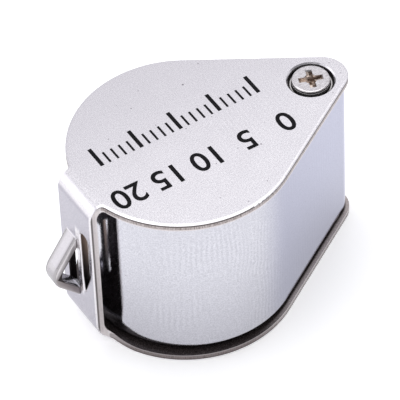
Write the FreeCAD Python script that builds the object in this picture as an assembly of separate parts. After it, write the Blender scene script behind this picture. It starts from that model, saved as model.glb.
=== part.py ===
"""Folding hand lens: a cemented triplet in a swinging housing, inside a bent sheet cover.

Frame: millimetres, +Z up. The origin is at the centre of the cover's large arc, on the underside
of its bottom plate. +X points from the web with the lanyard strap to the pivot screws.
"""
import FreeCAD
import Part
import math
import os

# Cover: one strip of sheet, bent twice
BODY_R = 12.6            # large arc of both plates, centred on the origin
TIP_R = 2.9              # small arc at the pointed end
TIP_X = 18.26            # centre of the small arc
COVER_H = 21.85          # underside of the bottom plate to the top of the top plate
SHEET_T = 0.9
WEB_X = -13.8            # outer face of the web
WEB_HALF_W = 3.42
TOP_BEND_R = 1.05        # inside of the bend
BOTTOM_BEND_R = 2.45
NOTCH_R = 0.6            # concave corner where a plate's arc runs into the strip
EDGE_ROLL_R = 0.3        # soft outer edge left by the blanking die

# Lanyard strap, lanced out of the web, and the openings beside it
STRAP_Y = (-0.1, 2.05)
STRAP_ROOT_Z = (5.6, 14.6)
STRAP_APEX_Z = 9.4
STRAP_REACH = 3.6        # bend in front of the web's outer face, before it is rounded
STRAP_ROOT_R = 0.5
STRAP_APEX_R = 1.6
STRAP_EDGE_R = 0.3
SLOT_OUTLINE = ((-1.15, 6.9), (-2.6, 10.6), (-2.65, 16.5), (-0.95, 16.5), (-0.95, 9.2))
SLOT_CORNER_R = (0.1, 1.5, 0.8, 0.8, 2.0)
SLOT_LIP_R = 0.25
SLOT_LEDGE_W = 0.9       # half-sheared ledge left on the slot's side away from the rib
SLOT_LEDGE_DEPTH = 0.5

# Pivot
PIVOT_X = 16.8
RECESS_R = 2.6           # pressed recess for a screw head
RECESS_RIM_R = 0.15
DIMPLE_R = 3.05          # the same recess seen from the inside of the plate
DIMPLE_DEPTH = 1.15      # outer face of a plate to the inner end of its dimple
TOP_RECESS_DEPTH = 0.65  # the top head stands a little proud
BOTTOM_RECESS_DEPTH = 0.8
SCREW_HEAD_R = 2.12
SCREW_HEAD_T = 0.8
SCREW_HEAD_ROUND_R = 0.18
SCREW_SHANK_R = 1.25
SCREW_LENGTH = 6.0
SCREW_TIP_CHAMFER = 0.3
CROSS_ANGLE = -20.5
CROSS_SPAN = 2.9
CROSS_WIDTH = 0.72
CROSS_DEPTH = 0.5
CROSS_POINT_R = 0.75
CROSS_POINT_DEPTH = 1.3
POST_R = 1.8
BUSH_R = 2.5
SLIP = 0.03              # radial play of every plain fit

# Washers between each dimple and the housing
WASHER_R = 2.9
SPRING_T = 0.1
SPRING_RISE = 0.08
FRICTION_T = 0.15

# Housing: drawn shell with a base plate
HOUSING_GAP = 0.6        # inner face of a plate to the housing
HOUSING_X = 0.35         # centre of the housing's large arc, and the optical axis
HOUSING_R = 12.0
HOUSING_TIP_X = 18.15
HOUSING_TIP_R = 2.55
SHELL_T = 0.5
SHELL_EDGE_R = 0.22
LIP_T = 0.3
LIP_W = 0.45
BASE_T = 0.6

# Optics and what holds them
LENS_R = 9.0
BARREL_R = 10.3
SPIGOT_R = 9.9
SPIGOT_RECESS = 0.1      # spigot ends below the housing's faces
THREAD_R = 9.45
THREAD_DEPTH = 2.4
RING_T = 1.5
RING_BORE_R = 8.3
RING_BEVEL = 0.5
RING_SETBACK = 0.35      # ring below the spigot's end
NOTCH_W = 1.1
NOTCH_DEPTH = 0.6
SPACER_BORE_R = 8.5
CROWN_R = 14.0           # the two cemented surfaces
CROWN_EDGE_T = 3.0
OUTER_LENS_R = 18.0      # the two outer surfaces
FLINT_T = 1.8            # a flint glass at its centre
CEMENT_T = 0.01

UP = FreeCAD.Vector(0, 0, 1)
MID_Z = COVER_H / 2
HOUSING_Z = (SHEET_T + HOUSING_GAP, COVER_H - SHEET_T - HOUSING_GAP)


def vec(x, y, z=0.0):
    return FreeCAD.Vector(x, y, z)


def cylinder(radius, z_low, z_high, x=0.0):
    return Part.makeCylinder(radius, z_high - z_low, vec(x, 0, z_low), UP)


def ring(outer_r, inner_r, z_low, z_high, x):
    return cylinder(outer_r, z_low, z_high, x).cut(cylinder(inner_r, z_low - 1, z_high + 1, x))


def mirror_up(shape):
    """The same shape turned over, for the other end of the stack."""
    return shape.mirror(vec(0, 0, MID_Z), UP)


def rounded_outline(points, radii):
    """Closed outline through 3-D points, each corner rounded by its own radius (0 keeps it)."""
    count = len(points)
    ends = []
    for i in range(count):
        corner = points[i]
        before = (points[i - 1] - corner).normalize()
        after = (points[(i + 1) % count] - corner).normalize()
        if radii[i] == 0:
            ends.append((corner, None, corner))
            continue
        half = before.getAngle(after) / 2
        bisector = (before + after).normalize()
        reach = radii[i] / math.tan(half)
        arc_mid = corner + bisector * (radii[i] / math.sin(half) - radii[i])
        ends.append((corner + before * reach, arc_mid, corner + after * reach))
    edges = []
    for i in range(count):
        start, arc_mid, end = ends[i]
        if arc_mid is not None:
            edges.append(Part.Arc(start, arc_mid, end).toShape())
        edges.append(Part.LineSegment(end, ends[(i + 1) % count][0]).toShape())
    return Part.Wire(edges)


def strip_section(path, thickness, inner_r):
    """Section of a bent strip in the XZ plane, from the (x, z) points of its middle line."""
    sides = {}
    for sign in (1, -1):
        points = []
        radii = []
        for i, (x, z) in enumerate(path):
            directions = []
            if i > 0:
                directions.append(vec(x - path[i - 1][0], z - path[i - 1][1]).normalize())
            if i < len(path) - 1:
                directions.append(vec(path[i + 1][0] - x, path[i + 1][1] - z).normalize())
            first = directions[0]
            last = directions[-1]
            normal = vec(-first.y - last.y, first.x + last.x).normalize()
            stretch = 1 / (normal.x * -first.y + normal.y * first.x)
            offset = normal * (sign * thickness / 2 * stretch)
            points.append(vec(x + offset.x, 0, z + offset.y))
            turn = first.x * last.y - first.y * last.x
            if abs(turn) < 1e-9:
                radii.append(0)
            else:
                radii.append(inner_r[i] if turn * sign > 0 else inner_r[i] + thickness)
        sides[sign] = (points, radii)
    points = sides[1][0] + sides[-1][0][::-1]
    radii = sides[1][1] + sides[-1][1][::-1]
    return Part.Face(rounded_outline(points, radii))


def teardrop(big_x, big_r, tip_x, tip_r, z_low, z_high):
    """Prism whose outline is a large arc and a small arc joined by their common tangents."""
    sine = (big_r - tip_r) / (tip_x - big_x)
    cosine = math.sqrt(1 - sine * sine)
    upper = [vec(big_x + big_r * sine, big_r * cosine, z_low),
             vec(tip_x + tip_r * sine, tip_r * cosine, z_low)]
    lower = [vec(p.x, -p.y, z_low) for p in upper]
    edges = [Part.Arc(upper[0], vec(big_x - big_r, 0, z_low), lower[0]).toShape(),
             Part.LineSegment(lower[0], lower[1]).toShape(),
             Part.Arc(lower[1], vec(tip_x + tip_r, 0, z_low), upper[1]).toShape(),
             Part.LineSegment(upper[1], upper[0]).toShape()]
    return Part.Face(Part.Wire(edges)).extrude(vec(0, 0, z_high - z_low))


def extrude_along_y(face, y_low, y_high):
    moved = face.copy()
    moved.translate(vec(0, y_low))
    return moved.extrude(vec(0, y_high - y_low))


def plate_outline():
    """Upright prism with the cover's outline seen from above: teardrop, strip and soft corners."""
    plan = teardrop(0, BODY_R, TIP_X, TIP_R, -1, COVER_H + 1)
    strip = Part.makeBox(BODY_R, 2 * WEB_HALF_W, COVER_H + 2, vec(WEB_X - 1, -WEB_HALF_W, -1))
    plan = plan.fuse(strip).removeSplitter()
    corner_x = -math.sqrt(BODY_R ** 2 - WEB_HALF_W ** 2)
    corners = [e for e in plan.Edges if is_upright_near(e, corner_x)]
    return plan.makeFillet(NOTCH_R, corners)


def is_upright_near(edge, x):
    box = edge.BoundBox
    return box.ZLength > COVER_H and abs(box.Center.x - x) < 0.05 and box.XLength < 0.01


def cover_blank():
    """Both plates and the web as one bent sheet, trimmed to the outline."""
    middle_x = WEB_X + SHEET_T / 2
    low_z = SHEET_T / 2
    high_z = COVER_H - SHEET_T / 2
    far_x = TIP_X + BODY_R
    path = ((far_x, high_z), (middle_x, high_z), (middle_x, low_z), (far_x, low_z))
    bends = (0, TOP_BEND_R, BOTTOM_BEND_R, 0)
    sheet = extrude_along_y(strip_section(path, SHEET_T, bends), -BODY_R - 1, BODY_R + 1)
    return sheet.common(plate_outline())


def on_outer_rim(edge):
    """True for the edges round the outer skin, but not for the seams straight across the web."""
    start = edge.valueAt(edge.FirstParameter)
    middle = edge.valueAt((edge.FirstParameter + edge.LastParameter) / 2)
    end = edge.valueAt(edge.LastParameter)
    is_seam = abs(middle.y) < 0.01 and abs(middle.x - start.x) < 0.01 and middle.x < 0
    return all(on_outer_skin(p) for p in (start, middle, end)) and not is_seam


def on_outer_skin(point):
    is_top = point.z > MID_Z
    bend_r = SHEET_T + (TOP_BEND_R if is_top else BOTTOM_BEND_R)
    depth = COVER_H - point.z if is_top else point.z
    bend_x = WEB_X + bend_r
    if point.x > bend_x:
        return abs(depth) < 0.01
    if depth > bend_r:
        return abs(point.x - WEB_X) < 0.01
    return abs(math.hypot(point.x - bend_x, bend_r - depth) - bend_r) < 0.01


def strap():
    """V-shaped strap standing out of the web, with its outer edges softened."""
    middle_x = WEB_X + SHEET_T / 2
    apex_x = WEB_X - STRAP_REACH + SHEET_T / 2
    low_z, high_z = STRAP_ROOT_Z
    path = ((middle_x, high_z + 1.2), (middle_x, high_z), (apex_x, STRAP_APEX_Z),
            (middle_x, low_z), (middle_x, low_z - 1.2))
    bends = (0, STRAP_ROOT_R, STRAP_APEX_R, STRAP_ROOT_R, 0)
    solid = extrude_along_y(strip_section(path, SHEET_T, bends), *STRAP_Y)
    faces = [f for f in solid.Faces if abs(f.normalAt(0, 0).y) > 0.99]
    outer = []
    for edge in faces[0].Edges + faces[1].Edges:
        middle = edge.valueAt((edge.FirstParameter + edge.LastParameter) / 2)
        if is_outer_strap_point(middle) and edge.Length > SHEET_T + 0.01:
            outer.append(edge)
    return solid.makeFillet(STRAP_EDGE_R, outer)


def is_outer_strap_point(point):
    """True where a point of the strap's side face is on its outer line, away from the web."""
    low_z, high_z = STRAP_ROOT_Z
    run = high_z - STRAP_APEX_Z if point.z > STRAP_APEX_Z else STRAP_APEX_Z - low_z
    share = 1 - abs(point.z - STRAP_APEX_Z) / run
    middle_x = WEB_X + SHEET_T / 2 - STRAP_REACH * max(share, 0)
    return point.x < middle_x


def web_openings():
    """The slot beside the rib, and the gap that the strap was pushed out of."""
    points = [vec(WEB_X - 1, y, z) for y, z in SLOT_OUTLINE]
    slot = Part.Face(rounded_outline(points, SLOT_CORNER_R)).extrude(vec(SHEET_T + 2, 0))
    ledge = Part.makeBox(SHEET_T + 2, SLOT_LEDGE_W, COVER_H,
                         vec(WEB_X + SLOT_LEDGE_DEPTH, min(y for y, z in SLOT_OUTLINE), 0))
    slot = slot.cut(ledge)
    low_z, high_z = STRAP_ROOT_Z
    gap = Part.makeBox(SHEET_T + 2, STRAP_Y[1] - STRAP_Y[0], high_z - low_z,
                       vec(WEB_X - 1, STRAP_Y[0], low_z))
    return slot, gap


def soften_slot(cover):
    """Rolled outer lip round the slot, as the punch leaves it."""
    low_y = min(y for y, z in SLOT_OUTLINE) - 0.05
    high_y = max(y for y, z in SLOT_OUTLINE) + 0.05
    lip = []
    for edge in cover.Edges:
        box = edge.BoundBox
        on_face = box.XLength < 0.01 and abs(box.XMin - WEB_X) < 0.01
        if on_face and box.YMin > low_y and box.YMax < high_y:
            lip.append(edge)
    return cover.makeFillet(SLOT_LIP_R, lip)


def seat(recess_depth):
    """Dimple added inside the bottom plate, and the recess cut into it from below."""
    dimple = cylinder(DIMPLE_R, SHEET_T / 2, DIMPLE_DEPTH, PIVOT_X)
    hole = cylinder(RECESS_R, -1, recess_depth, PIVOT_X)
    hole = hole.fuse(cylinder(SCREW_SHANK_R + SLIP, 0, DIMPLE_DEPTH + 1, PIVOT_X))
    rim = Part.makeCone(RECESS_R + RECESS_RIM_R, RECESS_R, RECESS_RIM_R, vec(PIVOT_X, 0, 0), UP)
    return dimple, hole.fuse(rim)


def folding_cover():
    blank = cover_blank()
    blank = blank.makeFillet(EDGE_ROLL_R, [e for e in blank.Edges if on_outer_rim(e)])
    slot, gap = web_openings()
    blank = soften_slot(blank.cut(slot)).cut(gap)
    bottom_dimple, bottom_hole = seat(BOTTOM_RECESS_DEPTH)
    top_dimple, top_hole = seat(TOP_RECESS_DEPTH)
    blank = blank.fuse([strap(), bottom_dimple, mirror_up(top_dimple)])
    return blank.cut([bottom_hole, mirror_up(top_hole)]).removeSplitter()


def cross_recess(z_top):
    """Tapered cross with a conical middle, cut down from z_top."""
    cuts = [Part.makeCone(CROSS_POINT_R * 0.3, CROSS_POINT_R, CROSS_POINT_DEPTH,
                          vec(PIVOT_X, 0, z_top - CROSS_POINT_DEPTH), UP)]
    half = CROSS_SPAN / 2
    floor_half = half * 0.72
    for quarter in (0, 90):
        points = [vec(-half, 0, z_top + 0.1), vec(half, 0, z_top + 0.1),
                  vec(floor_half, 0, z_top - CROSS_DEPTH), vec(-floor_half, 0, z_top - CROSS_DEPTH)]
        arm = Part.Face(Part.makePolygon(points + points[:1])).extrude(vec(0, CROSS_WIDTH))
        arm.translate(vec(PIVOT_X, -CROSS_WIDTH / 2))
        arm.rotate(vec(PIVOT_X, 0), UP, CROSS_ANGLE + quarter)
        cuts.append(arm)
    return cuts


def pivot_screw(recess_depth):
    """Screw for the top plate, head up."""
    seat_z = COVER_H - recess_depth
    head_top = seat_z + SCREW_HEAD_T
    head = cylinder(SCREW_HEAD_R, seat_z, head_top, PIVOT_X)
    rim = [e for e in head.Edges if abs(e.BoundBox.ZMin - head_top) < 0.001]
    head = head.makeFillet(SCREW_HEAD_ROUND_R, rim)
    shank = cylinder(SCREW_SHANK_R, seat_z - SCREW_LENGTH, seat_z, PIVOT_X)
    tip = [e for e in shank.Edges if abs(e.BoundBox.ZMax - seat_z + SCREW_LENGTH) < 0.001]
    shank = shank.makeChamfer(SCREW_TIP_CHAMFER, tip)
    return head.fuse(shank).removeSplitter().cut(cross_recess(head_top))


def pivot_post():
    """Tapped tube between the dimples, with room beyond both screws' tips."""
    post = cylinder(POST_R, DIMPLE_DEPTH, COVER_H - DIMPLE_DEPTH, PIVOT_X)
    return post.cut(cylinder(SCREW_SHANK_R + SLIP, 0, COVER_H, PIVOT_X))


def spring_washer():
    """Coned washer on the bottom dimple, rising towards its bore."""
    bore = POST_R + 2 * SLIP
    low = DIMPLE_DEPTH
    points = [vec(bore, 0, low + SPRING_RISE), vec(WASHER_R, 0, low),
              vec(WASHER_R, 0, low + SPRING_T), vec(bore, 0, low + SPRING_RISE + SPRING_T)]
    section = Part.Face(Part.makePolygon(points + points[:1]))
    washer = section.revolve(vec(0, 0), UP, 360)
    washer.translate(vec(PIVOT_X, 0))
    return washer


def friction_washer():
    low = DIMPLE_DEPTH + SPRING_RISE + SPRING_T
    return ring(WASHER_R, POST_R + 2 * SLIP, low, low + FRICTION_T, PIVOT_X)


def housing_prism(inset, z_low, z_high):
    return teardrop(HOUSING_X, HOUSING_R - inset, HOUSING_TIP_X, HOUSING_TIP_R - inset, z_low, z_high)


def housing_shell():
    """Drawn wall and top face; the lower edge is rolled in over the base plate."""
    low, high = HOUSING_Z
    shell = housing_prism(0, low, high)
    rims = [e for e in shell.Edges if e.BoundBox.ZLength < 0.01]
    shell = shell.makeFillet(SHELL_EDGE_R, rims)
    hollow = housing_prism(SHELL_T, low + LIP_T, high - SHELL_T)
    mouth = housing_prism(SHELL_T + LIP_W, low - 1, low + LIP_T + 0.1)
    lens_hole = cylinder(SPIGOT_R + SLIP, MID_Z, high + 1, HOUSING_X)
    bush_hole = cylinder(BUSH_R + SLIP, low - 1, high + 1, PIVOT_X)
    return shell.cut([hollow, mouth, lens_hole, bush_hole])


def housing_base():
    low = HOUSING_Z[0] + LIP_T
    plate = housing_prism(SHELL_T + SLIP, low, low + BASE_T)
    lens_hole = cylinder(SPIGOT_R + SLIP, low - 1, low + BASE_T + 1, HOUSING_X)
    bush_hole = cylinder(BUSH_R + SLIP, low - 1, low + BASE_T + 1, PIVOT_X)
    return plate.cut([lens_hole, bush_hole])


def pivot_bush():
    return ring(BUSH_R, POST_R + SLIP, HOUSING_Z[0], HOUSING_Z[1], PIVOT_X)


def lens_barrel():
    """Tube clamped between shell and base, with a spigot in each lens opening."""
    low = HOUSING_Z[0] + SPIGOT_RECESS
    high = HOUSING_Z[1] - SPIGOT_RECESS
    shoulder_low = HOUSING_Z[0] + LIP_T + BASE_T
    shoulder_high = HOUSING_Z[1] - SHELL_T
    body = cylinder(BARREL_R, shoulder_low, shoulder_high, HOUSING_X)
    body = body.fuse(cylinder(SPIGOT_R, low, high, HOUSING_X)).removeSplitter()
    bore = cylinder(LENS_R + SLIP, low - 1, high + 1, HOUSING_X)
    threads = [cylinder(THREAD_R, low - 1, low + THREAD_DEPTH, HOUSING_X),
               cylinder(THREAD_R, high - THREAD_DEPTH, high + 1, HOUSING_X)]
    return body.cut([bore] + threads)


def ring_top_z():
    return HOUSING_Z[1] - SPIGOT_RECESS - RING_SETBACK


def retaining_ring():
    """Upper threaded ring: bevelled bore and two notches for a pin spanner."""
    high = ring_top_z()
    solid = ring(THREAD_R - SLIP, RING_BORE_R, high - RING_T, high, HOUSING_X)
    bevel = Part.makeCone(RING_BORE_R, RING_BORE_R + RING_BEVEL, RING_BEVEL,
                          vec(HOUSING_X, 0, high - RING_BEVEL), UP)
    notch = Part.makeBox(3 * THREAD_R, NOTCH_W, NOTCH_DEPTH + 1,
                         vec(HOUSING_X - 1.5 * THREAD_R, -NOTCH_W / 2, high - NOTCH_DEPTH))
    return solid.cut([bevel, notch])


def seat_on_flint_z():
    """Height at which the spacer's bore meets the upper flint."""
    sag = OUTER_LENS_R - math.sqrt(OUTER_LENS_R ** 2 - SPACER_BORE_R ** 2)
    return crown_vertex_z() + CEMENT_T + FLINT_T - sag


def crown_vertex_z():
    sag = CROWN_R - math.sqrt(CROWN_R ** 2 - LENS_R ** 2)
    return MID_Z + CROWN_EDGE_T / 2 + sag


def spacer_ring():
    """Upper plain tube between the glass and the threaded ring."""
    return ring(LENS_R, SPACER_BORE_R, seat_on_flint_z(), ring_top_z() - RING_T, HOUSING_X)


def lens_crown():
    body = cylinder(LENS_R, MID_Z - CROWN_R, MID_Z + CROWN_R, HOUSING_X)
    centre_z = crown_vertex_z() - CROWN_R
    upper = Part.makeSphere(CROWN_R, vec(HOUSING_X, 0, centre_z))
    lower = Part.makeSphere(CROWN_R, vec(HOUSING_X, 0, COVER_H - centre_z))
    return body.common(upper).common(lower)


def lens_flint():
    """Upper flint: convex outside, hollow inside to match the crown."""
    body = cylinder(LENS_R, MID_Z, MID_Z + CROWN_R, HOUSING_X)
    outer_centre_z = crown_vertex_z() + CEMENT_T + FLINT_T - OUTER_LENS_R
    outer = Part.makeSphere(OUTER_LENS_R, vec(HOUSING_X, 0, outer_centre_z))
    hollow = Part.makeSphere(CROWN_R, vec(HOUSING_X, 0, crown_vertex_z() + CEMENT_T - CROWN_R))
    return body.common(outer).cut(hollow)


def nodes():
    return {
        "folding_cover": folding_cover(),
        "pivot_screw_top": pivot_screw(TOP_RECESS_DEPTH),
        "pivot_screw_bottom": mirror_up(pivot_screw(BOTTOM_RECESS_DEPTH)),
        "pivot_post": pivot_post(),
        "spring_washer_top": mirror_up(spring_washer()),
        "spring_washer_bottom": spring_washer(),
        "friction_washer_top": mirror_up(friction_washer()),
        "friction_washer_bottom": friction_washer(),
        "housing_shell": housing_shell(),
        "housing_base": housing_base(),
        "pivot_bush": pivot_bush(),
        "lens_barrel": lens_barrel(),
        "retaining_ring_top": retaining_ring(),
        "retaining_ring_bottom": mirror_up(retaining_ring()),
        "spacer_ring_top": spacer_ring(),
        "spacer_ring_bottom": mirror_up(spacer_ring()),
        "lens_flint_top": lens_flint(),
        "lens_crown": lens_crown(),
        "lens_flint_bottom": mirror_up(lens_flint()),
    }


os.makedirs("parts", exist_ok=True)
for name, shape in nodes().items():
    solids = len(shape.Solids)
    print(name, "solids", solids, "valid", shape.isValid(), "volume", round(shape.Volume, 3))
    shape.exportStep(os.path.join("parts", name + ".step"))
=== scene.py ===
"""Looks of the folding hand lens: camera, light, floor, materials and marks round the CAD frame."""
import math

import bpy
from mathutils import Matrix, Vector


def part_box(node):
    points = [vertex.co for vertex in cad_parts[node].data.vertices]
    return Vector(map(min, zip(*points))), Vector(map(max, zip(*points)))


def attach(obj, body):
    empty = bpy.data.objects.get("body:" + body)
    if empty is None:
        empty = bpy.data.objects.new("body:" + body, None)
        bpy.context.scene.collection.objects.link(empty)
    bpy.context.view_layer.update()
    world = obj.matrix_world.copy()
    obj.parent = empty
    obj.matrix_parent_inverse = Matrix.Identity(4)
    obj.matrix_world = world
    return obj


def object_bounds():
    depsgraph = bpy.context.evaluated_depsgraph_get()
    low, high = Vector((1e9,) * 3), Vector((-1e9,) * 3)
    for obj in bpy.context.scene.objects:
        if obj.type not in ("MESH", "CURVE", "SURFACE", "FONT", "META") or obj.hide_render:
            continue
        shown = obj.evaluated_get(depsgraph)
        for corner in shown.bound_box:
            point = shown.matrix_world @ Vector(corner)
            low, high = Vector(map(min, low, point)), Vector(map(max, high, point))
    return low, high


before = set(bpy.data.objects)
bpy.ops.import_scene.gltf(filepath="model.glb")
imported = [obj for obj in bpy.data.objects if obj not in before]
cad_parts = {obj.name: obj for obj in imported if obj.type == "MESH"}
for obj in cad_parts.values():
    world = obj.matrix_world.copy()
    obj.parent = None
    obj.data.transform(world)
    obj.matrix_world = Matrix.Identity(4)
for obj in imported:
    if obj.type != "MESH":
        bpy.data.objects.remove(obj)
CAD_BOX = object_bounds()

MM = 0.001

# Camera, aimed at a point given from the middle of the object's box
AZIMUTH = math.radians(-30.26)
ELEVATION = math.radians(46.53)
ROLL = math.radians(-2.61)
LOOK_OFFSET = Vector((0.89, 1.79, -1.88)) * MM
CAMERA_DISTANCE = 0.4504
LENS_MM = 364.5
SENSOR_MM = 36.0
NEAREST = 0.01

# Studio. A start or full value is the cosine of the angle from the middle of that side
FLOOR_HALF = 1.2
FLOOR_COLORS = ((0.95, 0.95, 0.95), (0.97, 0.97, 0.97))
FLOOR_GLOW = 0.28
FLOOR_GAP = 0.02 * MM
FLOOR_ROUGHNESS = 0.9
WORLD_COLOR = (0.955, 0.955, 1.0, 1)
WORLD_LEVEL = 0.97
DARK_SIDE = Vector((0.0, -0.75, 0.66)).normalized()
DARK_LEVEL = 0.30
DARK_START = 0.50
DARK_FULL = 0.66
WINDOW_SIDE = Vector((-0.80, 0.594, 0.08)).normalized()
WINDOW_LEVEL = 1.6
WINDOW_START = 0.77
WINDOW_FULL = 0.86
TOP_LIGHT_SIZE = 0.7
TOP_LIGHT_HEIGHT = 0.6
TOP_LIGHT_POWER = 2.1

# Cover, in mm, as in the CAD
BODY_R = 12.6
TIP_R = 2.9
TIP_X = 18.26
COVER_H = 21.85
MID_Z = COVER_H / 2
SHEET_T = 0.9
WEB_X = -13.8
PIVOT_X = 16.8
STRIP_END_X = -12.4              # beyond this the cover is plates, before it the bent strip
STRAP_ROOT_Z = (5.6, 14.6)
STRAP_MIDLINE_X = 13.35
STRAP_UPPER_SLOPE = (0.822, -0.569)      # inward direction of each arm, along X and Z
STRAP_LOWER_SLOPE = (0.726, 0.688)
STRAP_MID_Y = 0.975
STRAP_HALF_W = 1.075
RIB_Y = -0.5
RIB_Z = 11.5
SLOT_Z = 11.0

# Starts and ends of the masks: places in mm, and faces by a component of their normal
STRIP_X_SPAN = (STRIP_END_X - 0.15, STRIP_END_X + 0.15)
STRAP_X_SPAN = (WEB_X - 0.04, WEB_X - 0.12)
PIVOT_R_SPAN = (2.85, 2.75)
RIM_NZ_SPAN = (0.42, 0.30)
FLANK_NY_SPAN = (0.84, 0.92)
INNER_PLATE_SPAN = (0.0, 2.0)
INNER_WEB_NX_SPAN = (0.3, 0.5)
INNER_WEB_X_SPAN = (WEB_X, WEB_X + 0.5)
RIB_Y_SPAN = (0.56, 0.44)
RIB_Z_SPAN = (5.5, 4.5)
RECESS_DEPTH_SPAN = (0.5, 0.6)
HIGHLIGHT_RING_OUTER_SPAN = (2.38, 2.32)
HIGHLIGHT_RING_INNER_SPAN = (2.20, 2.25)
OPENING_X_SPAN = (WEB_X + 0.08, WEB_X + 0.28)
OPENING_Z_SPAN = (6.3, 6.1)
OPENING_Y_SPAN = (3.0, 2.8)
BESIDE_WEB_Y_SPAN = (2.85, 3.05)
WEB_NX_SPAN = (-0.90, -0.99)
BURR_EDGE_SPAN = (0.55, 0.30)
BURR_X_SPAN = (1.0, 8.0)
LOW_RIM_SHADE_Z_SPAN = (1.6, 1.2)
LOW_RIM_SHADE_NX_SPAN = (0.55, 0.0)
HEAD_SIDE_R_SPAN = (1.7, 1.9)
HEAD_SIDE_NZ_SPAN = (0.45, 0.3)

# Colours and textures
WAVE_SPACING = 0.314             # between the lines of a wave texture at scale 1
PLATE_COLORS = ((0.69, 0.67, 0.695), (0.84, 0.82, 0.84))
PLATE_FAR_SHADE_COLOR = (0.60, 0.58, 0.61)
WEB_SHADE_COLORS = ((0.37, 0.36, 0.41), (0.48, 0.46, 0.51))
STRAP_SHADE_COLOR = (0.47, 0.45, 0.46)
STRAP_EDGE_SHADE_COLOR = (0.32, 0.305, 0.31)
STRAP_SIDE_SHADE_COLORS = ((0.74, 0.71, 0.72), (0.36, 0.335, 0.34))
STRAP_LOW_SIDE_SHADE_COLOR = (0.26, 0.225, 0.22)
STRAP_CORNER_SHADE_COLOR = (0.04, 0.033, 0.033)
SHEARED_COLORS = ((0.22, 0.19, 0.18), (0.50, 0.455, 0.45))
SHEARED_STRIP_COLOR = (0.74, 0.70, 0.71)
SHEARED_EDGE_REFLECTION_COLOR = (0.08, 0.07, 0.07)
SHEARED_BURR_HIGHLIGHT_COLOR = (0.66, 0.62, 0.62)
SHEARED_LOW_SHADE_COLOR = (0.07, 0.05, 0.05)
INNER_SHADE_COLORS = ((0.018, 0.015, 0.016), (0.09, 0.072, 0.070))
INNER_BURR_HIGHLIGHT_COLOR = (0.44, 0.39, 0.38)
OPENING_SHADE_COLORS = ((0.02, 0.016, 0.016), (0.26, 0.19, 0.155))
RECESS_SHADE_COLOR = (0.02, 0.018, 0.018)
HIGHLIGHT_RING_COLOR = (0.55, 0.53, 0.52)
COVER_SPECK_COLOR = (0.16, 0.14, 0.16)
CHROME_COLORS = ((0.475, 0.475, 0.52), (0.70, 0.70, 0.745))
CHROME_FLANK_SHADE_COLOR = (0.262, 0.275, 0.42)
CHROME_LOW_SHADE_COLOR = (0.32, 0.315, 0.36)
CHROME_SPECK_COLOR = (0.14, 0.13, 0.16)
SCREW_COLORS = ((0.50, 0.475, 0.48), (0.74, 0.72, 0.73))
SCREW_FILM_COLORS = ((0.12, 0.08, 0.06), (0.85, 0.72, 0.62))
SCREW_SIDE_HIGHLIGHT_COLOR = (0.85, 0.83, 0.82)
CLEAR_COLOR = (0.99, 0.99, 0.99)
MATT_SPECULAR = 0.1
COATING_TINT = (0.6, 0.7, 1.0, 1)
INK_COLORS = ((0.003, 0.003, 0.004), (0.012, 0.011, 0.013))

# Marks on the top plate, in mm
SCALE_ZERO_X = 11.0
SCALE_LENGTH = 20
LONG_TICK_EVERY = 5
TICK_Y = 3.0
TICK_WIDTHS = (0.26, 0.46)
TICK_HEIGHTS = (1.7, 2.9)
NUMERAL_Y = -3.7
NUMERAL_SIZE = 4.0
NUMERAL_STROKE = 0.05
INK_LIFT = 0.012


# ---- shader helpers ----

def new_material(name):
    material = bpy.data.materials.new(name)
    material.use_nodes = True
    return material, material.node_tree, material.node_tree.nodes["Principled BSDF"]


def feed(tree, socket, value):
    """Links an output to a socket, or sets the socket's own value."""
    if isinstance(value, bpy.types.NodeSocket):
        tree.links.new(value, socket)
    elif isinstance(value, tuple) and len(value) == 3 and socket.type == "RGBA":
        socket.default_value = (*value, 1)
    else:
        socket.default_value = value


def calc(tree, operation, a, b=0.0):
    node = tree.nodes.new("ShaderNodeMath")
    node.operation = operation
    feed(tree, node.inputs[0], a)
    feed(tree, node.inputs[1], b)
    return node.outputs["Value"]


def plus(tree, a, b):
    return calc(tree, "ADD", a, b)


def minus(tree, a, b):
    return calc(tree, "SUBTRACT", a, b)


def times(tree, a, b):
    return calc(tree, "MULTIPLY", a, b)


def size_of(tree, value):
    return calc(tree, "ABSOLUTE", value)


def length(tree, a, b):
    """Length of the vector with components a and b."""
    return calc(tree, "SQRT", plus(tree, calc(tree, "POWER", a, 2.0), calc(tree, "POWER", b, 2.0)))


def along_direction(tree, x, z, direction):
    """Distance of the point (x, z) along a unit direction."""
    return plus(tree, times(tree, x, direction[0]), times(tree, z, direction[1]))


def ramp(tree, value, start, end, low=0.0, high=1.0):
    """Smooth step from low to high as value goes from start to end."""
    node = tree.nodes.new("ShaderNodeMapRange")
    node.interpolation_type = "SMOOTHSTEP"
    feed(tree, node.inputs["Value"], value)
    for name, number in (("From Min", start), ("From Max", end), ("To Min", low), ("To Max", high)):
        feed(tree, node.inputs[name], number)
    return node.outputs["Result"]


def blend(tree, factor, a, b):
    """Colour that goes from a to b as factor goes from 0 to 1."""
    node = tree.nodes.new("ShaderNodeMix")
    node.data_type = "RGBA"
    color_a, color_b = (s for s in node.inputs if s.type == "RGBA")
    feed(tree, node.inputs["Factor"], factor)
    feed(tree, color_a, a)
    feed(tree, color_b, b)
    return next(s for s in node.outputs if s.type == "RGBA")


def both(tree, *masks):
    """Product of masks."""
    result = masks[0]
    for mask in masks[1:]:
        result = times(tree, result, mask)
    return result


def either(tree, a, b):
    """Larger of two masks."""
    return calc(tree, "MAXIMUM", a, b)


def inverse(tree, mask):
    return minus(tree, 1.0, mask)


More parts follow.
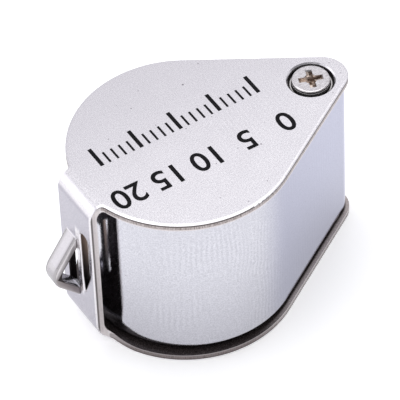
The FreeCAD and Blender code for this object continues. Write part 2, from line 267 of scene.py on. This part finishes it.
def place(tree, stretch=(1, 1, 1)):
    """Object coordinates in millimetres, stretched along each axis."""
    source = tree.nodes.new("ShaderNodeTexCoord")
    node = tree.nodes.new("ShaderNodeVectorMath")
    node.operation = "MULTIPLY"
    node.inputs[1].default_value = [s / MM for s in stretch]
    tree.links.new(source.outputs["Object"], node.inputs[0])
    return node.outputs["Vector"]


def split(tree, vector):
    node = tree.nodes.new("ShaderNodeSeparateXYZ")
    tree.links.new(vector, node.inputs[0])
    return node.outputs["X"], node.outputs["Y"], node.outputs["Z"]


def surface_normal(tree):
    node = tree.nodes.new("ShaderNodeTexCoord")
    return split(tree, node.outputs["Normal"])


def noise(tree, scale, detail=3.0, stretch=(1, 1, 1), roughness=0.5):
    """Noise whose features are about 1 / scale mm wide."""
    node = tree.nodes.new("ShaderNodeTexNoise")
    tree.links.new(place(tree, stretch), node.inputs["Vector"])
    node.inputs["Scale"].default_value = scale
    node.inputs["Detail"].default_value = detail
    node.inputs["Roughness"].default_value = roughness
    return node.outputs["Fac"]


def specks(tree, cell, radius, share):
    """Small dots of the radius, one in a share of the cells, in mm."""
    node = tree.nodes.new("ShaderNodeTexVoronoi")
    tree.links.new(place(tree), node.inputs["Vector"])
    node.inputs["Scale"].default_value = 1 / cell
    near = ramp(tree, node.outputs["Distance"], radius / cell, 0.5 * radius / cell)
    pick = split(tree, node.outputs["Color"])[0]
    return times(tree, near, calc(tree, "LESS_THAN", pick, share))


def polish_lines(tree, spacing):
    """Fine wavy lines with the spacing in mm, stronger in some places than in others."""
    node = tree.nodes.new("ShaderNodeTexWave")
    tree.links.new(place(tree), node.inputs["Vector"])
    node.inputs["Scale"].default_value = WAVE_SPACING / spacing
    node.inputs["Distortion"].default_value = 9.0
    node.inputs["Detail"].default_value = 2.0
    node.inputs["Detail Scale"].default_value = 0.25
    shown = ramp(tree, noise(tree, scale=0.12, detail=2), 0.45, 0.65)
    return plus(tree, 0.5, times(tree, shown, minus(tree, node.outputs["Fac"], 0.5)))


def bump(tree, shader, height, distance_mm, strength=1.0, normal=None):
    node = tree.nodes.new("ShaderNodeBump")
    node.inputs["Distance"].default_value = distance_mm * MM
    node.inputs["Strength"].default_value = strength
    tree.links.new(height, node.inputs["Height"])
    if normal is not None:
        tree.links.new(normal, node.inputs["Normal"])
    tree.links.new(node.outputs["Normal"], shader.inputs["Normal"])


def grained(name, colors, rough, metallic=1.0, scale=6.0, stretch=(1, 1, 1)):
    """Material whose colour, roughness and relief follow two sizes of noise."""
    material, tree, shader = new_material(name)
    fine = noise(tree, scale, detail=4, stretch=stretch)
    cloud = noise(tree, scale / 12, detail=2)
    mixed = plus(tree, times(tree, fine, 0.65), times(tree, cloud, 0.35))
    feed(tree, shader.inputs["Base Color"], blend(tree, ramp(tree, mixed, 0.35, 0.65), *colors))
    feed(tree, shader.inputs["Roughness"], ramp(tree, fine, 0.3, 0.7, *rough))
    shader.inputs["Metallic"].default_value = metallic
    bump(tree, shader, fine, distance_mm=0.002)
    return material


# ---- materials ----

class CoverSpot:
    """Where a point of the cover lies and which way its surface faces, as masks from 0 to 1."""

    def __init__(self, tree):
        self.tree = tree
        self.x, self.y, self.z = split(tree, place(tree))
        self.nx, self.ny, self.nz = surface_normal(tree)
        self.off_axis = size_of(tree, self.y)
        self.is_plate = ramp(tree, self.x, *STRIP_X_SPAN)
        self.is_strip = inverse(tree, self.is_plate)
        self.is_strap = ramp(tree, self.x, *STRAP_X_SPAN)
        self.pivot_distance = length(tree, minus(tree, self.x, PIVOT_X), self.y)
        self.near_pivot = ramp(tree, self.pivot_distance, *PIVOT_R_SPAN)
        self.cut = self.sheared_faces()

    def sheared_faces(self):
        tree = self.tree
        upright = ramp(tree, size_of(tree, self.nz), *RIM_NZ_SPAN)
        rim = both(tree, upright, self.is_plate, inverse(tree, self.near_pivot))
        flank = both(tree, ramp(tree, size_of(tree, self.ny), *FLANK_NY_SPAN), self.is_strip)
        return either(tree, rim, flank)

    def depth(self):
        """Distance below the outer skin, in mm."""
        tree = self.tree
        level = calc(tree, "MINIMUM", self.z, minus(tree, COVER_H, self.z))
        return calc(tree, "MINIMUM", level, minus(tree, self.x, WEB_X))

    def inner_faces(self):
        tree = self.tree
        facing = times(tree, self.nz, minus(tree, MID_Z, self.z))
        plates = both(tree, ramp(tree, facing, *INNER_PLATE_SPAN), self.is_plate)
        turned_in = ramp(tree, self.nx, *INNER_WEB_NX_SPAN)
        web = both(tree, turned_in, self.is_strip, ramp(tree, self.x, *INNER_WEB_X_SPAN))
        return either(tree, plates, web)

    def edge_distance(self):
        """Distance in from the outline of a plate, in mm: a large arc, a straight flank and a small arc."""
        tree = self.tree
        slope = (BODY_R - TIP_R) / TIP_X
        rise = math.sqrt(1 - slope ** 2)
        along = minus(tree, times(tree, self.x, rise), times(tree, self.off_axis, slope))
        out = plus(tree, times(tree, self.x, slope), times(tree, self.off_axis, rise))
        body_radius = length(tree, self.x, self.y)
        tip_radius = length(tree, minus(tree, self.x, TIP_X), self.y)
        past_body = calc(tree, "GREATER_THAN", along, 0.0)
        past_flank = calc(tree, "GREATER_THAN", along, TIP_X * rise)
        in_body = both(tree, inverse(tree, past_body), minus(tree, BODY_R, body_radius))
        in_flank = both(tree, past_body, inverse(tree, past_flank), minus(tree, BODY_R, out))
        in_tip = both(tree, past_flank, minus(tree, TIP_R, tip_radius))
        return plus(tree, plus(tree, in_body, in_flank), in_tip)

    def strap_depth(self):
        """Depth below the strap's outer skin, in mm, from its two sloping arms."""
        tree = self.tree
        out = plus(tree, self.x, STRAP_MIDLINE_X)
        upper = along_direction(tree, out, minus(tree, self.z, STRAP_ROOT_Z[1]), STRAP_UPPER_SLOPE)
        lower = along_direction(tree, out, minus(tree, self.z, STRAP_ROOT_Z[0]), STRAP_LOWER_SLOPE)
        return plus(tree, calc(tree, "MINIMUM", upper, lower), SHEET_T / 2)

    def across_strap(self):
        """Position across the strap, from -1 to 1."""
        return calc(self.tree, "DIVIDE", minus(self.tree, self.y, STRAP_MID_Y), STRAP_HALF_W)

    def rib(self):
        """Narrow bar of the web between the slot and the strap's opening."""
        tree = self.tree
        across = size_of(tree, minus(tree, self.y, RIB_Y))
        along = size_of(tree, minus(tree, self.z, RIB_Z))
        return both(tree, ramp(tree, across, *RIB_Y_SPAN), ramp(tree, along, *RIB_Z_SPAN))

    def recess(self):
        """Floor of the pressed recess round a screw head, where dark shade is painted."""
        return both(self.tree, self.near_pivot, ramp(self.tree, self.depth(), *RECESS_DEPTH_SPAN))

    def seat_ring(self):
        """Painted highlight: a bright ring on the recess's floor, close round the screw head."""
        tree = self.tree
        outer = ramp(tree, self.pivot_distance, *HIGHLIGHT_RING_OUTER_SPAN)
        inner = ramp(tree, self.pivot_distance, *HIGHLIGHT_RING_INNER_SPAN)
        return both(tree, outer, inner, ramp(tree, self.depth(), *RECESS_DEPTH_SPAN))

    def opening(self):
        """Walls of the slot and of the gap behind the strap."""
        tree = self.tree
        inside = ramp(tree, self.x, *OPENING_X_SPAN)
        beside = ramp(tree, size_of(tree, minus(tree, self.z, SLOT_Z)), *OPENING_Z_SPAN)
        across = ramp(tree, self.off_axis, *OPENING_Y_SPAN)
        return both(tree, inside, across, beside, self.is_strip, inverse(tree, self.inner_faces()))


def rolling_marks(tree, spot):
    """Streaks that run across the thickness of the sheet."""
    upright = noise(tree, scale=3.5, detail=5, stretch=(3, 3, 0.5), roughness=0.7)
    level = noise(tree, scale=3.5, detail=5, stretch=(0.6, 1, 3), roughness=0.7)
    return plus(tree, both(tree, upright, spot.is_plate), both(tree, level, spot.is_strip))


def plated_color(tree, spot, grain):
    """Outer skin of the cover, with its specks, painted shade towards +Y, and a web and strap painted
    darker as shade.
    """
    cloud = noise(tree, scale=0.35, detail=3)
    tone = plus(tree, times(tree, grain, 0.8), times(tree, cloud, 0.1))
    tone = plus(tree, tone, times(tree, polish_lines(tree, spacing=0.55), 0.05))
    light = ramp(tree, tone, 0.36, 0.64)
    color = blend(tree, light, *PLATE_COLORS)
    # Painted shade: the cover's skin is blended darker towards +Y.
    color = blend(tree, ramp(tree, spot.y, -6.0, 12.0, 0.0, 0.55), color, PLATE_FAR_SHADE_COLOR)
    # Painted shade: the web's outer face, apart from the rib, gets darker colours than the plates.
    web = both(tree, ramp(tree, spot.nx, *WEB_NX_SPAN), inverse(tree, spot.rib()))
    color = blend(tree, web, color, blend(tree, light, *WEB_SHADE_COLORS))
    # Painted shade: the strap is painted darker than the rest of the same sheet.
    color = blend(tree, times(tree, spot.is_strap, 0.65), color, STRAP_SHADE_COLOR)
    # Painted shade, broken up by the grain: the strap darker towards its edges and on its lower arm, so it
    # looks rounded.
    outer = ramp(tree, size_of(tree, spot.across_strap()), 0.30, 0.95)
    strap_shade = either(tree, outer, ramp(tree, spot.z, 10.8, 9.0))
    strap_shade = both(tree, strap_shade, spot.is_strap, ramp(tree, grain, 0.2, 0.8, 0.55, 0.95))
    color = blend(tree, strap_shade, color, STRAP_EDGE_SHADE_COLOR)
    dots = either(tree, specks(tree, 1.1, 0.10, 0.30), specks(tree, 2.3, 0.16, 0.16))
    return blend(tree, times(tree, dots, 0.75), color, COVER_SPECK_COLOR)


def strap_side_color(tree, spot):
    """Side of the strap, in painted shade: light outside, darker inside and on the lower arm, dark at the
    inner corner.
    """
    deep = spot.strap_depth()
    lower_arm = inverse(tree, ramp(tree, spot.z, 8.6, 10.2))
    color = blend(tree, ramp(tree, deep, 0.15, 0.75), *STRAP_SIDE_SHADE_COLORS)
    color = blend(tree, times(tree, lower_arm, 0.7), color, STRAP_LOW_SIDE_SHADE_COLOR)
    return blend(tree, ramp(tree, deep, 0.78, 0.88), color, STRAP_CORNER_SHADE_COLOR)


def sheared_color(tree, spot, marks):
    """Brown-grey faces of the sheet: a painted dark reflection line by the outer skin, the body, a burr
    painted bright as its highlight, and painted shade low on the bottom plate.
    """
    color = blend(tree, ramp(tree, marks, 0.36, 0.62), *SHEARED_COLORS)
    color = blend(tree, times(tree, spot.is_strip, 0.55), color, SHEARED_STRIP_COLOR)
    depth = spot.depth()
    # Painted reflection: a dark line on the cut faces next to the outer skin.
    color = blend(tree, ramp(tree, depth, 0.42, 0.32, 0.0, 0.85), color, SHEARED_EDGE_REFLECTION_COLOR)
    # Real burr along the cut faces' inner edge, painted light as its highlight.
    burr_highlight = both(tree, ramp(tree, depth, 0.70, 0.80), inverse(tree, spot.is_strap))
    color = blend(tree, burr_highlight, color, SHEARED_BURR_HIGHLIGHT_COLOR)
    # Painted shade: the bottom plate's cut faces darker, except where they face +X.
    low = both(tree, ramp(tree, spot.z, *LOW_RIM_SHADE_Z_SPAN), spot.is_plate,
               ramp(tree, spot.nx, *LOW_RIM_SHADE_NX_SPAN))
    color = blend(tree, times(tree, low, 0.55), color, SHEARED_LOW_SHADE_COLOR)
    return blend(tree, spot.is_strap, color, strap_side_color(tree, spot))


def rounded_normal(tree, spot):
    """Flattens the rolled edges, which are polished nearly level, and crowns the strap."""
    flattening = 0.72
    roll = both(tree, inverse(tree, spot.cut), inverse(tree, spot.near_pivot))
    beside = either(tree, spot.is_plate, ramp(tree, spot.off_axis, *BESIDE_WEB_Y_SPAN))
    keep_x = inverse(tree, times(tree, both(tree, roll, spot.is_plate), flattening))
    keep_y = inverse(tree, times(tree, both(tree, roll, beside), flattening))
    bulge = calc(tree, "POWER", spot.across_strap(), 3.0)
    crown = both(tree, bulge, spot.is_strap, inverse(tree, spot.cut))
    vector = tree.nodes.new("ShaderNodeCombineXYZ")
    feed(tree, vector.inputs["X"], times(tree, spot.nx, keep_x))
    feed(tree, vector.inputs["Y"], plus(tree, times(tree, spot.ny, keep_y), crown))
    feed(tree, vector.inputs["Z"], spot.nz)
    unit = tree.nodes.new("ShaderNodeVectorMath")
    unit.operation = "NORMALIZE"
    tree.links.new(vector.outputs["Vector"], unit.inputs[0])
    return unit.outputs["Vector"]


def satin_nickel():
    """Cover: satin sheet with bright rolled edges, brown-grey sheared faces and an inside painted dark as
    shade.
    """
    material, tree, shader = new_material("satin_nickel")
    spot = CoverSpot(tree)
    grain = noise(tree, scale=7.0, detail=5, roughness=0.65)
    marks = rolling_marks(tree, spot)
    # Real burr on the inner faces near the plates' outline, painted light as its highlight.
    burr_highlight = both(tree, ramp(tree, spot.edge_distance(), *BURR_EDGE_SPAN), ramp(tree, spot.x, *BURR_X_SPAN))
    # Painted shade: the inner faces between the plates and behind the web are painted nearly black,
    # streaked by the rolling marks.
    inner_shade = blend(tree, ramp(tree, marks, 0.4, 0.62), *INNER_SHADE_COLORS)
    inner_shade = blend(tree, burr_highlight, inner_shade, INNER_BURR_HIGHLIGHT_COLOR)
    inner = spot.inner_faces()
    # Painted light and shade: the walls of the slot and of the gap behind the strap go from dark low down
    # to lit brown higher up.
    opening_shade = blend(tree, ramp(tree, spot.z, 9.0, 15.5), *OPENING_SHADE_COLORS)
    color = blend(tree, spot.cut, plated_color(tree, spot, grain), sheared_color(tree, spot, marks))
    color = blend(tree, inner, color, inner_shade)
    color = blend(tree, spot.opening(), color, opening_shade)
    # Painted shade: the recess floor round the screw head is painted nearly black.
    color = blend(tree, spot.recess(), color, RECESS_SHADE_COLOR)
    # Painted highlight: a bright ring round the screw head.
    color = blend(tree, spot.seat_ring(), color, HIGHLIGHT_RING_COLOR)
    feed(tree, shader.inputs["Base Color"], color)
    feed(tree, shader.inputs["Metallic"], inverse(tree, times(tree, inner, 0.6)))
    rough = ramp(tree, grain, 0.3, 0.7, 0.20, 0.30)
    feed(tree, shader.inputs["Roughness"], ramp(tree, spot.cut, 0.0, 1.0, rough, 0.42))
    relief = plus(tree, times(tree, grain, 0.4), both(tree, marks, spot.cut))
    bump(tree, shader, relief, distance_mm=0.012, strength=0.35, normal=rounded_normal(tree, spot))
    return material


def mirror_chrome():
    """Housing: polished plate with faint drawing lines, fine scratches and specks, and painted shade on the
    walls turned towards +X and low down.
    """
    material, tree, shader = new_material("mirror_chrome")
    shader.inputs["Metallic"].default_value = 1.0
    nx, _, nz = surface_normal(tree)
    z = split(tree, place(tree))[2]
    lines = noise(tree, scale=2.2, detail=4, stretch=(0.5, 0.5, 4), roughness=0.6)
    slanted = noise(tree, scale=3.0, detail=5, stretch=(0.6, 2.5, 1.6), roughness=0.65)
    grain = noise(tree, scale=7.0, detail=3, roughness=0.7)
    tone = plus(tree, times(tree, grain, 0.75), times(tree, lines, 0.15))
    tone = plus(tree, tone, times(tree, polish_lines(tree, spacing=0.5), 0.08))
    color = blend(tree, ramp(tree, tone, 0.32, 0.68), *CHROME_COLORS)
    upright = ramp(tree, size_of(tree, nz), 0.6, 0.2)
    # Painted shade: the upright walls turned towards +X are painted darker and bluer.
    flank = both(tree, ramp(tree, nx, 0.1, 0.75), upright)
    color = blend(tree, times(tree, flank, 0.85), color, CHROME_FLANK_SHADE_COLOR)
    # Painted shade: the upright walls darker towards the bottom.
    lower = both(tree, ramp(tree, z, 15.0, 2.0), upright)
    color = blend(tree, times(tree, lower, 0.25), color, CHROME_LOW_SHADE_COLOR)
    dots = either(tree, specks(tree, 1.2, 0.09, 0.22), specks(tree, 2.6, 0.16, 0.14))
    color = blend(tree, times(tree, dots, 0.7), color, CHROME_SPECK_COLOR)
    feed(tree, shader.inputs["Base Color"], color)
    feed(tree, shader.inputs["Roughness"], ramp(tree, slanted, 0.35, 0.7, 0.05, 0.11))
    relief = plus(tree, times(tree, slanted, 0.5), times(tree, grain, 0.5))
    bump(tree, shader, relief, distance_mm=0.008, strength=0.75)
    return material


def screw_nickel():
    """Plated screw with a golden-brown film in the cross recess, and a side in painted shade with a band of
    painted highlight.
    """
    material, tree, shader = new_material("screw_nickel")
    x, y, z = split(tree, place(tree))
    nz = surface_normal(tree)[2]
    height = size_of(tree, minus(tree, z, MID_Z))
    deep = ramp(tree, height, MID_Z + 0.12, MID_Z - 0.1)
    scratches = noise(tree, scale=3.0, detail=5, stretch=(0.6, 4, 1), roughness=0.7)
    patches = noise(tree, scale=1.6, detail=3)
    clean = blend(tree, ramp(tree, scratches, 0.35, 0.65), *SCREW_COLORS)
    film = blend(tree, ramp(tree, patches, 0.44, 0.56), *SCREW_FILM_COLORS)
    off_middle = length(tree, minus(tree, x, PIVOT_X), y)
    upright = ramp(tree, size_of(tree, nz), *HEAD_SIDE_NZ_SPAN)
    side = both(tree, ramp(tree, off_middle, *HEAD_SIDE_R_SPAN), upright)
    above = ramp(tree, height, MID_Z - 0.28, MID_Z - 0.24)
    below = ramp(tree, height, MID_Z - 0.10, MID_Z - 0.14)
    color = blend(tree, deep, clean, film)
    # Painted shade: the head's side is painted nearly black.
    color = blend(tree, side, color, RECESS_SHADE_COLOR)
    # Painted highlight: a light band across the head's side.
    color = blend(tree, both(tree, side, above, below), color, SCREW_SIDE_HIGHLIGHT_COLOR)
    feed(tree, shader.inputs["Base Color"], color)
    feed(tree, shader.inputs["Metallic"], ramp(tree, deep, 0.0, 1.0, 1.0, 0.45))
    feed(tree, shader.inputs["Roughness"], ramp(tree, scratches, 0.3, 0.7, 0.18, 0.32))
    bump(tree, shader, scratches, distance_mm=0.01, strength=0.4)
    return material


def optical_glass(name, ior, tint):
    """Clear glass whose surface has faint cleaning marks."""
    material, tree, shader = new_material(name)
    wipe = noise(tree, scale=0.9, detail=4, stretch=(1, 3, 1))
    feed(tree, shader.inputs["Base Color"], blend(tree, ramp(tree, wipe, 0.3, 0.7), tint, CLEAR_COLOR))
    feed(tree, shader.inputs["Roughness"], ramp(tree, wipe, 0.45, 0.8, 0.0, 0.03))
    shader.inputs["Transmission Weight"].default_value = 1.0
    shader.inputs["IOR"].default_value = ior
    shader.inputs["Coat Weight"].default_value = 0.2
    shader.inputs["Coat Tint"].default_value = COATING_TINT
    return material


def dress(material, *names):
    for name in names:
        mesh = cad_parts[name].data
        mesh.materials.clear()
        mesh.materials.append(material)


def dress_all():
    dress(satin_nickel(), "folding_cover")
    dress(mirror_chrome(), "housing_shell", "housing_base")
    dress(screw_nickel(), "pivot_screw_top", "pivot_screw_bottom")
    steel = ((0.42, 0.41, 0.40), (0.60, 0.59, 0.58))
    dress(grained("post_steel", steel, rough=(0.22, 0.36), stretch=(1, 1, 5)), "pivot_post")
    blued = ((0.26, 0.28, 0.36), (0.42, 0.42, 0.46))
    dress(grained("blue_spring", blued, rough=(0.25, 0.4)), "spring_washer_top", "spring_washer_bottom")
    nylon = ((0.78, 0.76, 0.70), (0.88, 0.87, 0.82))
    dress(grained("white_nylon", nylon, rough=(0.45, 0.6), metallic=0.0),
          "friction_washer_top", "friction_washer_bottom")
    brass = ((0.62, 0.43, 0.16), (0.80, 0.60, 0.27))
    dress(grained("turned_brass", brass, rough=(0.2, 0.34), stretch=(1, 1, 6)), "pivot_bush")
    black = ((0.010, 0.010, 0.012), (0.030, 0.030, 0.034))
    dress(grained("black_anodised", black, rough=(0.38, 0.55), metallic=0.3),
          "lens_barrel", "retaining_ring_top", "retaining_ring_bottom",
          "spacer_ring_top", "spacer_ring_bottom")
    dress(optical_glass("flint_glass", ior=1.62, tint=(0.95, 0.97, 0.96)),
          "lens_flint_top", "lens_flint_bottom")
    dress(optical_glass("crown_glass", ior=1.52, tint=(0.96, 0.98, 0.97)), "lens_crown")


# ---- marks ----

def mark_piece(name, mesh, ink):
    piece = bpy.data.objects.new(name, mesh)
    mesh.materials.clear()
    mesh.materials.append(ink)
    bpy.context.scene.collection.objects.link(piece)
    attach(piece, "cover")


def mark_height():
    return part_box("folding_cover")[1].z + INK_LIFT * MM


def numeral(number, x, ink):
    """A number read with its top towards -Y, centred on x."""
    curve = bpy.data.curves.new("numeral_curve", "FONT")
    curve.body = str(number)
    curve.size = NUMERAL_SIZE * MM
    curve.offset = NUMERAL_STROKE * MM
    curve.align_x = "CENTER"
    curve.align_y = "CENTER"
    curve.fill_mode = "FRONT"
    text = bpy.data.objects.new("numeral_text", curve)
    mesh = bpy.data.meshes.new_from_object(text)
    turn = Matrix.Rotation(math.pi, 4, "Z")
    mesh.transform(Matrix.Translation((x * MM, NUMERAL_Y * MM, mark_height())) @ turn)
    bpy.data.objects.remove(text)
    mark_piece("numeral_%02d" % number, mesh, ink)


def ticks(ink):
    """One flat rectangle for each millimetre of the scale."""
    vertices = []
    faces = []
    low = TICK_Y - max(TICK_HEIGHTS) / 2
    for step in range(SCALE_LENGTH + 1):
        is_long = step % LONG_TICK_EVERY == 0
        half_w = TICK_WIDTHS[is_long] / 2
        high = low + TICK_HEIGHTS[is_long]
        x = SCALE_ZERO_X - step
        first = len(vertices)
        for dx, y in ((-half_w, low), (half_w, low), (half_w, high), (-half_w, high)):
            vertices.append(((x + dx) * MM, y * MM, mark_height()))
        faces.append(tuple(range(first, first + 4)))
    mesh = bpy.data.meshes.new("scale_ticks")
    mesh.from_pydata(vertices, [], faces)
    mark_piece("scale_ticks", mesh, ink)


def add_marks():
    ink = grained("black_ink", INK_COLORS, rough=(0.6, 0.9), metallic=0.0, scale=5.0)
    ink.node_tree.nodes["Principled BSDF"].inputs["Specular IOR Level"].default_value = MATT_SPECULAR
    ticks(ink)
    for number in range(0, SCALE_LENGTH + 1, LONG_TICK_EVERY):
        numeral(number, SCALE_ZERO_X - number, ink)


# ---- studio ----

def camera_axes():
    """Right, up and backward directions of the camera, with its roll."""
    back = Vector((math.sin(AZIMUTH) * math.cos(ELEVATION),
                   -math.cos(AZIMUTH) * math.cos(ELEVATION),
                   math.sin(ELEVATION)))
    right = Vector((math.cos(AZIMUTH), math.sin(AZIMUTH), 0))
    up = back.cross(right)
    rolled_right = right * math.cos(ROLL) + up * math.sin(ROLL)
    rolled_up = up * math.cos(ROLL) - right * math.sin(ROLL)
    return rolled_right, rolled_up, back


def add_camera():
    right, up, back = camera_axes()
    low, high = CAD_BOX
    look_at = (low + high) / 2 + LOOK_OFFSET
    data = bpy.data.cameras.new("camera")
    data.lens = LENS_MM
    data.sensor_width = SENSOR_MM
    data.clip_start = NEAREST
    camera = bpy.data.objects.new("camera", data)
    turn = Matrix((right, up, back)).transposed()
    camera.matrix_world = Matrix.Translation(look_at + back * CAMERA_DISTANCE) @ turn.to_4x4()
    bpy.context.scene.collection.objects.link(camera)
    bpy.context.scene.camera = camera


def towards(tree, side):
    """Cosine of the angle between a direction of the surround and a side of it."""
    direction = tree.nodes.new("ShaderNodeTexCoord")
    dot = tree.nodes.new("ShaderNodeVectorMath")
    dot.operation = "DOT_PRODUCT"
    dot.inputs[1].default_value = side
    tree.links.new(direction.outputs["Generated"], dot.inputs[0])
    return dot.outputs["Value"]


def add_world():
    """White surround with a darker opening in front and a bright window at the back left."""
    world = bpy.data.worlds.new("studio")
    bpy.context.scene.world = world
    world.use_nodes = True
    tree = world.node_tree
    level = ramp(tree, towards(tree, DARK_SIDE), DARK_START, DARK_FULL, WORLD_LEVEL, DARK_LEVEL)
    level = ramp(tree, towards(tree, WINDOW_SIDE), WINDOW_START, WINDOW_FULL, level, WINDOW_LEVEL)
    background = tree.nodes["Background"]
    tree.links.new(level, background.inputs["Strength"])
    background.inputs["Color"].default_value = WORLD_COLOR


def add_top_light():
    data = bpy.data.lights.new("top_light", "AREA")
    data.shape = "SQUARE"
    data.size = TOP_LIGHT_SIZE
    data.energy = TOP_LIGHT_POWER
    light = bpy.data.objects.new("top_light", data)
    light.location = (0, 0, TOP_LIGHT_HEIGHT)
    bpy.context.scene.collection.objects.link(light)


def add_floor():
    mesh = bpy.data.meshes.new("floor")
    h = FLOOR_HALF
    mesh.from_pydata([(-h, -h, 0), (h, -h, 0), (h, h, 0), (-h, h, 0)], [], [(0, 1, 2, 3)])
    floor = bpy.data.objects.new("floor", mesh)
    floor.location.z = CAD_BOX[0].z - FLOOR_GAP
    material, tree, shader = new_material("floor_paper")
    paper = noise(tree, scale=1.5, detail=4)
    feed(tree, shader.inputs["Base Color"], blend(tree, paper, *FLOOR_COLORS))
    shader.inputs["Roughness"].default_value = FLOOR_ROUGHNESS
    shader.inputs["Specular IOR Level"].default_value = MATT_SPECULAR
    shader.inputs["Emission Color"].default_value = (1, 1, 1, 1)
    shader.inputs["Emission Strength"].default_value = FLOOR_GLOW
    mesh.materials.append(material)
    bpy.context.scene.collection.objects.link(floor)


add_camera()
add_world()
add_top_light()
add_floor()
bpy.context.scene.view_settings.view_transform = "Standard"
dress_all()
add_marks()
